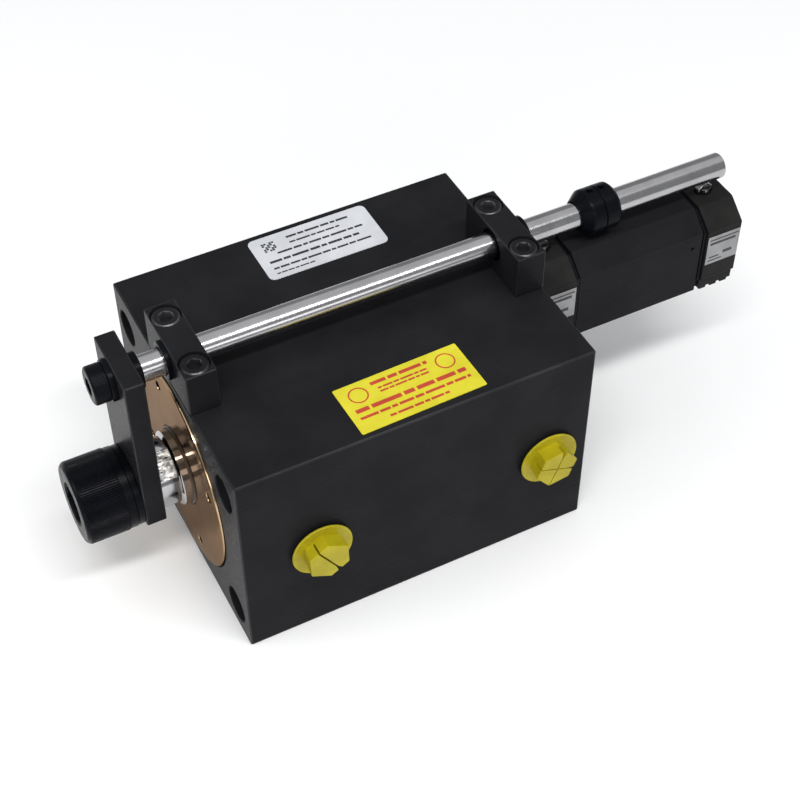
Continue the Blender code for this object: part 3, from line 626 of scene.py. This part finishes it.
def make_caution_label():
    low, high = span("caution_label")
    at = (low + high) / 2
    work = prism(rounded(61.0, 28.5, 0.6, 3), low.z, high.z, axis="Z")
    bmesh.ops.rotate(work, matrix=Matrix.Rotation(radians(CAUTION_TURN), 3, "Z"), verts=work.verts)
    bmesh.ops.translate(work, vec=(at.x, at.y, 0), verts=work.verts)
    piece("caution_film", work, YELLOW_FILM, BODY, "caution_label")
    print_rows("caution_print", CAUTION_ROWS, high.z, RED_INK, at, CAUTION_TURN)
    for name, offset in (("left", -21.5), ("right", 21.5)):
        spot = Matrix.Rotation(radians(CAUTION_TURN), 3, "Z") @ Vector((offset, 6.8, 0))
        ring = tube(high.z - 0.01, high.z + 0.03, 3.9, 4.6, 0.0, axis="Z", steps=48,
                    centre=(at.x + spot.x, at.y + spot.y, 0))
        piece("caution_ring_" + name, ring, RED_INK, BODY)


# --- Moving rod ------------------------------------------------------------

ROD_BODY = "rod_assembly"
NECK_R = 16.0
PISTON_FRONT = 22.0
SPIGOT_R = 12.5
FLAT_TURN = 32.5
FLAT_HALF = 14.5  # half the distance across the two wrench flats
COLLAR_BORE = 6.55
SET_SCREW_TILT = -8.0


def make_piston_rod():
    low, high = span("piston_rod")
    plate_back = low.x
    neck_end = FRONT - 6.2
    profile = [(plate_back, 0), (plate_back, NECK_R), (neck_end - 0.3, NECK_R), (neck_end, NECK_R + 0.3),
               (neck_end + 0.4, ROD_R - 0.5), (neck_end + 1.0, ROD_R), (PISTON_FRONT, ROD_R),
               (PISTON_FRONT, SPIGOT_R), (high.x, SPIGOT_R), (high.x, 0)]
    cuts = []
    for side in (0, pi):
        slab = brick((plate_back - 2, -20, FLAT_HALF), (neck_end, 20, 22))
        for face in slab.faces:
            face.material_index = 1
        spin = Matrix.Rotation(radians(FLAT_TURN) + side, 4, "X")
        bmesh.ops.transform(slab, matrix=Matrix.Translation((0, 0, BORE_Z)) @ spin, verts=slab.verts)
        cuts.append(slab)
    piece("rod_shaft", turned(profile, steps=128, centre=BORE_LINE), CHROME, ROD_BODY,
          "piston_rod", cuts, edge=FLAT)


def make_link():
    low, high = span("link_plate")
    cuts = [turned(hole_profile(low.x, high.x, 13.5, 0.4), steps=96, centre=BORE_LINE),
            turned(hole_profile(low.x, high.x, 4.2, 0.4), steps=48, centre=TRIP_LINE)]
    piece("link_bar", brick(low, high, 0.7, 3, 1), OXIDE, ROD_BODY, "link_plate", cuts,
          edge=OXIDE_EDGE_WEAR_AND_HIGHLIGHT)
    low, high = span("clamp_washer")
    outer = (high.z - low.z) / 2
    washer = tube(low.x - JOINT_LINE, high.x + JOINT_LINE, 13.5, outer, 0.4, centre=BORE_LINE)
    piece("clamp_washer_ring", washer, SCREW, ROD_BODY, "clamp_washer")


def make_clamp_screw():
    low, high = span("clamp_screw")
    head = (high.z - low.z) / 2
    front = low.x
    under = span("clamp_washer")[0].x - 0.3
    band = under - 3.6
    profile = [(front, head - 2.2, False), (front + 0.15, head - 1.6, False),
               (front + 0.7, head - 0.9, False), (front + 1.5, head - 0.3, False),
               (front + 1.9, head - 0.05, True), (band - 0.4, head, True), (band, head - 0.35, False),
               (under, head - 0.35, False), (under, 13.2, False), (-76.0, 13.2, False), (-75.0, 12.2, False)]
    work = knurled(profile, 116, 0.3, (0, BORE_Z))
    socket = prism(polygon(6, 19.0, centre=(0, BORE_Z)), front - 2, front + 13.5)
    mouth = turned([(front - 2, 0), (front - 2, 12.9), (front + 0.9, 9.9), (front + 0.9, 0)], steps=96,
                   centre=BORE_LINE)
    piece("clamp_screw_head", work, SCREW, ROD_BODY, "clamp_screw", [socket, mouth])


def make_trip_rod():
    low, high = span("trip_rod")
    radius = (high.z - low.z) / 2
    profile = [(low.x, 0), (low.x, radius - 0.5), (low.x + 0.5, radius), (high.x - 0.9, radius),
               (high.x - 0.3, radius - 0.35), (high.x, radius - 0.9), (high.x, 0)]
    piece("trip_rod_shaft", turned(profile, steps=128, centre=TRIP_LINE), GROUND, ROD_BODY,
          "trip_rod")
    for node in ("trip_rod_shoulder", "trip_rod_washer"):
        low, high = span(node)
        ring = tube(low.x - JOINT_LINE, high.x + JOINT_LINE, 4.2, (high.z - low.z) / 2, 0.3, centre=TRIP_LINE)
        piece(node + "_ring", ring, SCREW, ROD_BODY, node)
    low, high = span("trip_rod_screw")
    front = low.x
    head = (high.z - low.z) / 2
    under = span("trip_rod_washer")[0].x - 0.3
    profile = [(front, head - 1.5, False), (front + 0.1, head - 1.0, False),
               (front + 0.5, head - 0.35, False), (front + 1.1, head, True), (under - 0.5, head, True),
               (under, head - 0.3, False), (under, 3.9, False), (high.x, 3.9, False)]
    socket = prism(polygon(6, 8.0, centre=(0, TRIP_Z)), front - 2, front + 4.5)
    piece("trip_rod_screw_head", knurled(profile, 60, 0.12, (0, TRIP_Z)), SCREW, ROD_BODY,
          "trip_rod_screw", [socket])


def make_trip_collar():
    for node in ("trip_ring_front", "trip_ring_rear"):
        low, high = span(node)
        ring = (high.z - low.z) / 2
        if node.endswith("front"):
            profile = [(low.x, COLLAR_BORE), (low.x, 7.1), (low.x + 0.3, 7.5), (low.x + 4.4, ring - 0.45),
                       (low.x + 5.0, ring - 0.1), (low.x + 5.8, ring), (high.x - 0.25, ring),
                       (high.x, ring - 0.25), (high.x, COLLAR_BORE)]
        else:
            profile = [(low.x, COLLAR_BORE), (low.x, ring - 0.25), (low.x + 0.25, ring), (high.x - 2.6, ring),
                       (high.x - 2.0, ring - 0.15), (high.x - 0.5, ring - 1.6), (high.x - 0.1, ring - 2.2),
                       (high.x, ring - 2.8), (high.x, COLLAR_BORE)]
        at = middle(node.replace("trip_ring", "trip_set_screw"))
        hole = turned([(4, 0), (4, 1.55), (ring - 0.35, 1.55), (ring + 3, 4.9), (ring + 3, 0)], axis="Z",
                      steps=32)
        bmesh.ops.rotate(hole, matrix=Matrix.Rotation(radians(SET_SCREW_TILT), 3, "X"), verts=hole.verts)
        bmesh.ops.translate(hole, vec=(at.x, 0, TRIP_Z), verts=hole.verts)
        piece(node + "_body", turned(profile, closed=True, steps=96, centre=TRIP_LINE), SCREW, "trip_collar",
              node, [hole])


# --- Limit switches --------------------------------------------------------


SHOULDER_Z = 101.5
TIE_ROOM = 3.0
AXLE_R = 1.2
WHEEL_BORE = 1.5


def switch_outline(inset=0.0):
    """Housing outline in Y and Z: a flat top, two broad chamfers and a stepped foot."""
    low, high = span("switch_body_front")
    side = high.y - inset
    top = high.z - inset
    foot = low.z + inset
    half = [(9.5, top), (side, SHOULDER_Z), (side, 70.5), (side - 1.4, 69.5), (side - 1.4, foot)]
    return half + [(-y, z) for y, z in reversed(half)]


def tie_holes(low, high):
    """Cutters for the two tie bolts, through everything between two places along X."""
    return [rod(low - 3, high + 3, TIE_ROOM, steps=32, centre=(0, 0, middle("tie_bolt_" + number).z))
            for number in "12"]


def make_switch(end):
    low, high = span("switch_body_" + end)
    cover_low, cover_high = span("switch_cover_" + end)
    at_x = middle("switch_plunger_" + end).x
    cuts = [rod(86.0, 115.0, 3.9, axis="Z", steps=48, centre=(at_x, 0, 0)),
            brick((at_x - 4.5, -2.1, 102.5), (at_x + 4.5, 2.1, 115.0))]
    cuts += tie_holes(low.x, high.x)
    piece("switch_case_" + end, prism(switch_outline(), low.x, high.x, bevel=0.5, edge_look=1), ALLOY, BODY,
          "switch_body_" + end, cuts)
    piece("switch_lid_" + end, prism(switch_outline(1.0), cover_low.x, cover_high.x, bevel=0.3), SCREW, BODY,
          "switch_cover_" + end, tie_holes(cover_low.x, cover_high.x))
    foot = bmesh.new()
    for step in range(3):
        x = low.x + 3.6 + step * (high.x - low.x - 7.2) / 2
        for side in (-1, 1):
            spot = Matrix.Translation((x, side * 14.5, low.z - 1.0)) @ Matrix.Diagonal((4.2, 7.0, 2.0, 1.0))
            bmesh.ops.create_cube(foot, size=1.0, matrix=spot)
    bmesh.ops.bevel(foot, geom=foot.edges[:], offset=0.5, segments=2, profile=0.5, affect="EDGES")
    piece("switch_feet_" + end, foot, ALLOY, BODY)
    low, high = span("switch_label_" + end)
    piece("switch_plate_" + end, brick(low, high, 0.1, 1), SILVER_FILM, BODY,
          "switch_label_" + end)
    rows = bmesh.new()
    width = high.x - low.x
    for x, z, length, height in ((0, 15.3, 0.9, 0.8), (-0.5, 12.9, 0.8, 1.5), (3.0, 5.6, 0.28, 1.9),
                                 (-4.6, 4.2, 0.3, 0.9), (-4.0, 2.2, 0.42, 0.8)):
        spot = Matrix.Translation(((low.x + high.x) / 2 + x, low.y - 0.02, low.z + z))
        bmesh.ops.create_cube(rows, size=1.0, matrix=spot @ Matrix.Diagonal((length * width, 0.05, height, 1.0)))
    piece("switch_print_" + end, rows, INK, BODY)


def make_plunger(end):
    body = "plunger_" + end
    low, high = span("switch_plunger_" + end)
    at = middle("switch_roller_" + end)
    stem = (high.x - low.x) / 2
    half = span("switch_roller_" + end)[1].y
    cuts = [brick((at.x - 6, -half - 0.3, at.z - 4.6), (at.x + 6, half + 0.3, high.z + 2)),
            rod(-6, 6, WHEEL_BORE, axis="Y", steps=24, centre=(at.x, 0, at.z))]
    fork = rod(low.z, high.z, stem, 0.4, axis="Z", steps=64, centre=(at.x, 0, 0))
    piece("plunger_fork_" + end, fork, DARK_STEEL_AND_SHADE, body, "switch_plunger_" + end, cuts)
    pin = span("roller_pin_" + end)[1].y
    axle = rod(-pin, pin, AXLE_R, 0.2, axis="Y", steps=32, centre=(at.x, 0, at.z))
    piece("roller_axle_" + end, axle, STEEL, body, "roller_pin_" + end)
    wheel = tube(-half, half, WHEEL_BORE, 4.0, 0.3, axis="Y", steps=64, centre=(at.x, 0, at.z))
    # The front roller wheel takes the darker steel as painted shade; the rear one stays bright.
    piece("roller_wheel_" + end, wheel, STEEL if end == "rear" else DARK_STEEL_AND_SHADE, "roller_" + end,
          "switch_roller_" + end)


def make_bar():
    low, high = span("switch_bar")
    cuts = tie_holes(low.x, high.x)
    cuts.append(turned([(low.y - 3, 0), (low.y - 3, 4.2), (low.y + 0.4, 0.9), (low.y + 4, 0.9), (low.y + 4, 0)],
                       axis="Y", steps=24, centre=(high.x - 5.0, 0, high.z - 17.0)))
    half = [(9.0, high.z), (high.y, SHOULDER_Z), (high.y, low.z)]
    outline = half + [(-y, z) for y, z in reversed(half)]
    piece("switch_bar_skin", prism(outline, low.x, high.x, bevel=0.3, segments=2), OXIDE, BODY,
          "switch_bar", cuts)


# --- CAD nodes that keep their shape ---------------------------------------

NODE_LOOKS = {
    "rod_seal": RUBBER, "gland_o_ring": RUBBER, "piston_seal": RUBBER,
    "rod_wear_ring": BRONZE, "piston_wear_ring_front": BRONZE, "piston_wear_ring_rear": BRONZE,
    "piston": STEEL, "piston_nut": STEEL, "plunger_spring_front": STEEL, "plunger_spring_rear": STEEL,
    "tie_bolt_1": SCREW, "tie_bolt_2": SCREW, "trip_set_screw_front": SCREW, "trip_set_screw_rear": SCREW,
}


def dress_nodes():
    for node, look in NODE_LOOKS.items():
        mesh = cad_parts[node].data
        mesh.materials.clear()
        mesh.materials.append(look)


# --- Stage -----------------------------------------------------------------


def area_light(name, at, size, power):
    """A soft rectangle light that faces the object."""
    data = bpy.data.lights.new(name, "AREA")
    data.shape = "RECTANGLE"
    data.size, data.size_y = size
    data.energy = power
    light = bpy.data.objects.new(name, data)
    light.location = at
    light.rotation_euler = (Vector((0, 0, 0.06)) - Vector(at)).to_track_quat("-Z", "Y").to_euler()
    bpy.context.scene.collection.objects.link(light)


def make_stage():
    mesh = bpy.data.meshes.new("floor")
    work = bmesh.new()  # in metres, unlike the parts
    bmesh.ops.create_grid(work, x_segments=1, y_segments=1, size=6.0)
    work.to_mesh(mesh)
    work.free()
    floor = bpy.data.objects.new("floor", mesh)
    bpy.context.scene.collection.objects.link(floor)
    mesh.materials.append(base_look("floor_white", (0.92, 0.92, 0.92), 0.75))

    world = bpy.data.worlds.new("studio")
    world.use_nodes = True
    world.node_tree.nodes["Background"].inputs["Color"].default_value = (0.96, 0.98, 1.0, 1.0)
    world.node_tree.nodes["Background"].inputs["Strength"].default_value = 0.36
    bpy.context.scene.world = world
    area_light("key", (-0.1, -0.74, 1.82), (1.8, 0.2), 25)
    area_light("overhead", (0.1, 0.1, 1.95), (3.2, 3.2), 14)
    area_light("front", (-0.3, -1.4, 0.68), (2.0, 0.42), 5.5)
    area_light("left", (-1.5, 0.3, 0.9), (0.7, 0.9), 7)
    bpy.context.scene.view_settings.view_transform = "Standard"


def make_camera():
    data = bpy.data.cameras.new("camera")
    data.lens = 74.47
    data.sensor_width = 36.0
    camera = bpy.data.objects.new("camera", data)
    right = Vector((0.88875, -0.45839, -0.00256))
    forward = Vector((0.311418, 0.607872, -0.730418))
    up = right.cross(forward)
    turn = Matrix((right, up, -forward)).transposed()
    camera.matrix_world = Matrix.Translation(Vector((-224.3, -487.4, 628.0)) * MM) @ turn.to_4x4()
    bpy.context.scene.collection.objects.link(camera)
    bpy.context.scene.camera = camera


make_camera()
make_stage()
make_block()
make_gland()
make_guides()
make_plug("port_plug_front", -58.0, [(0, 0.45, 6.8)])
make_plug("port_plug_rear", -21.5, [(0, 0.3, 5.0), (90, 0.3, 5.0)])
make_rating_label()
make_caution_label()
make_piston_rod()
make_link()
make_clamp_screw()
make_trip_rod()
make_trip_collar()
make_bar()
for switch_end in ("front", "rear"):
    make_switch(switch_end)
    make_plunger(switch_end)
dress_nodes()
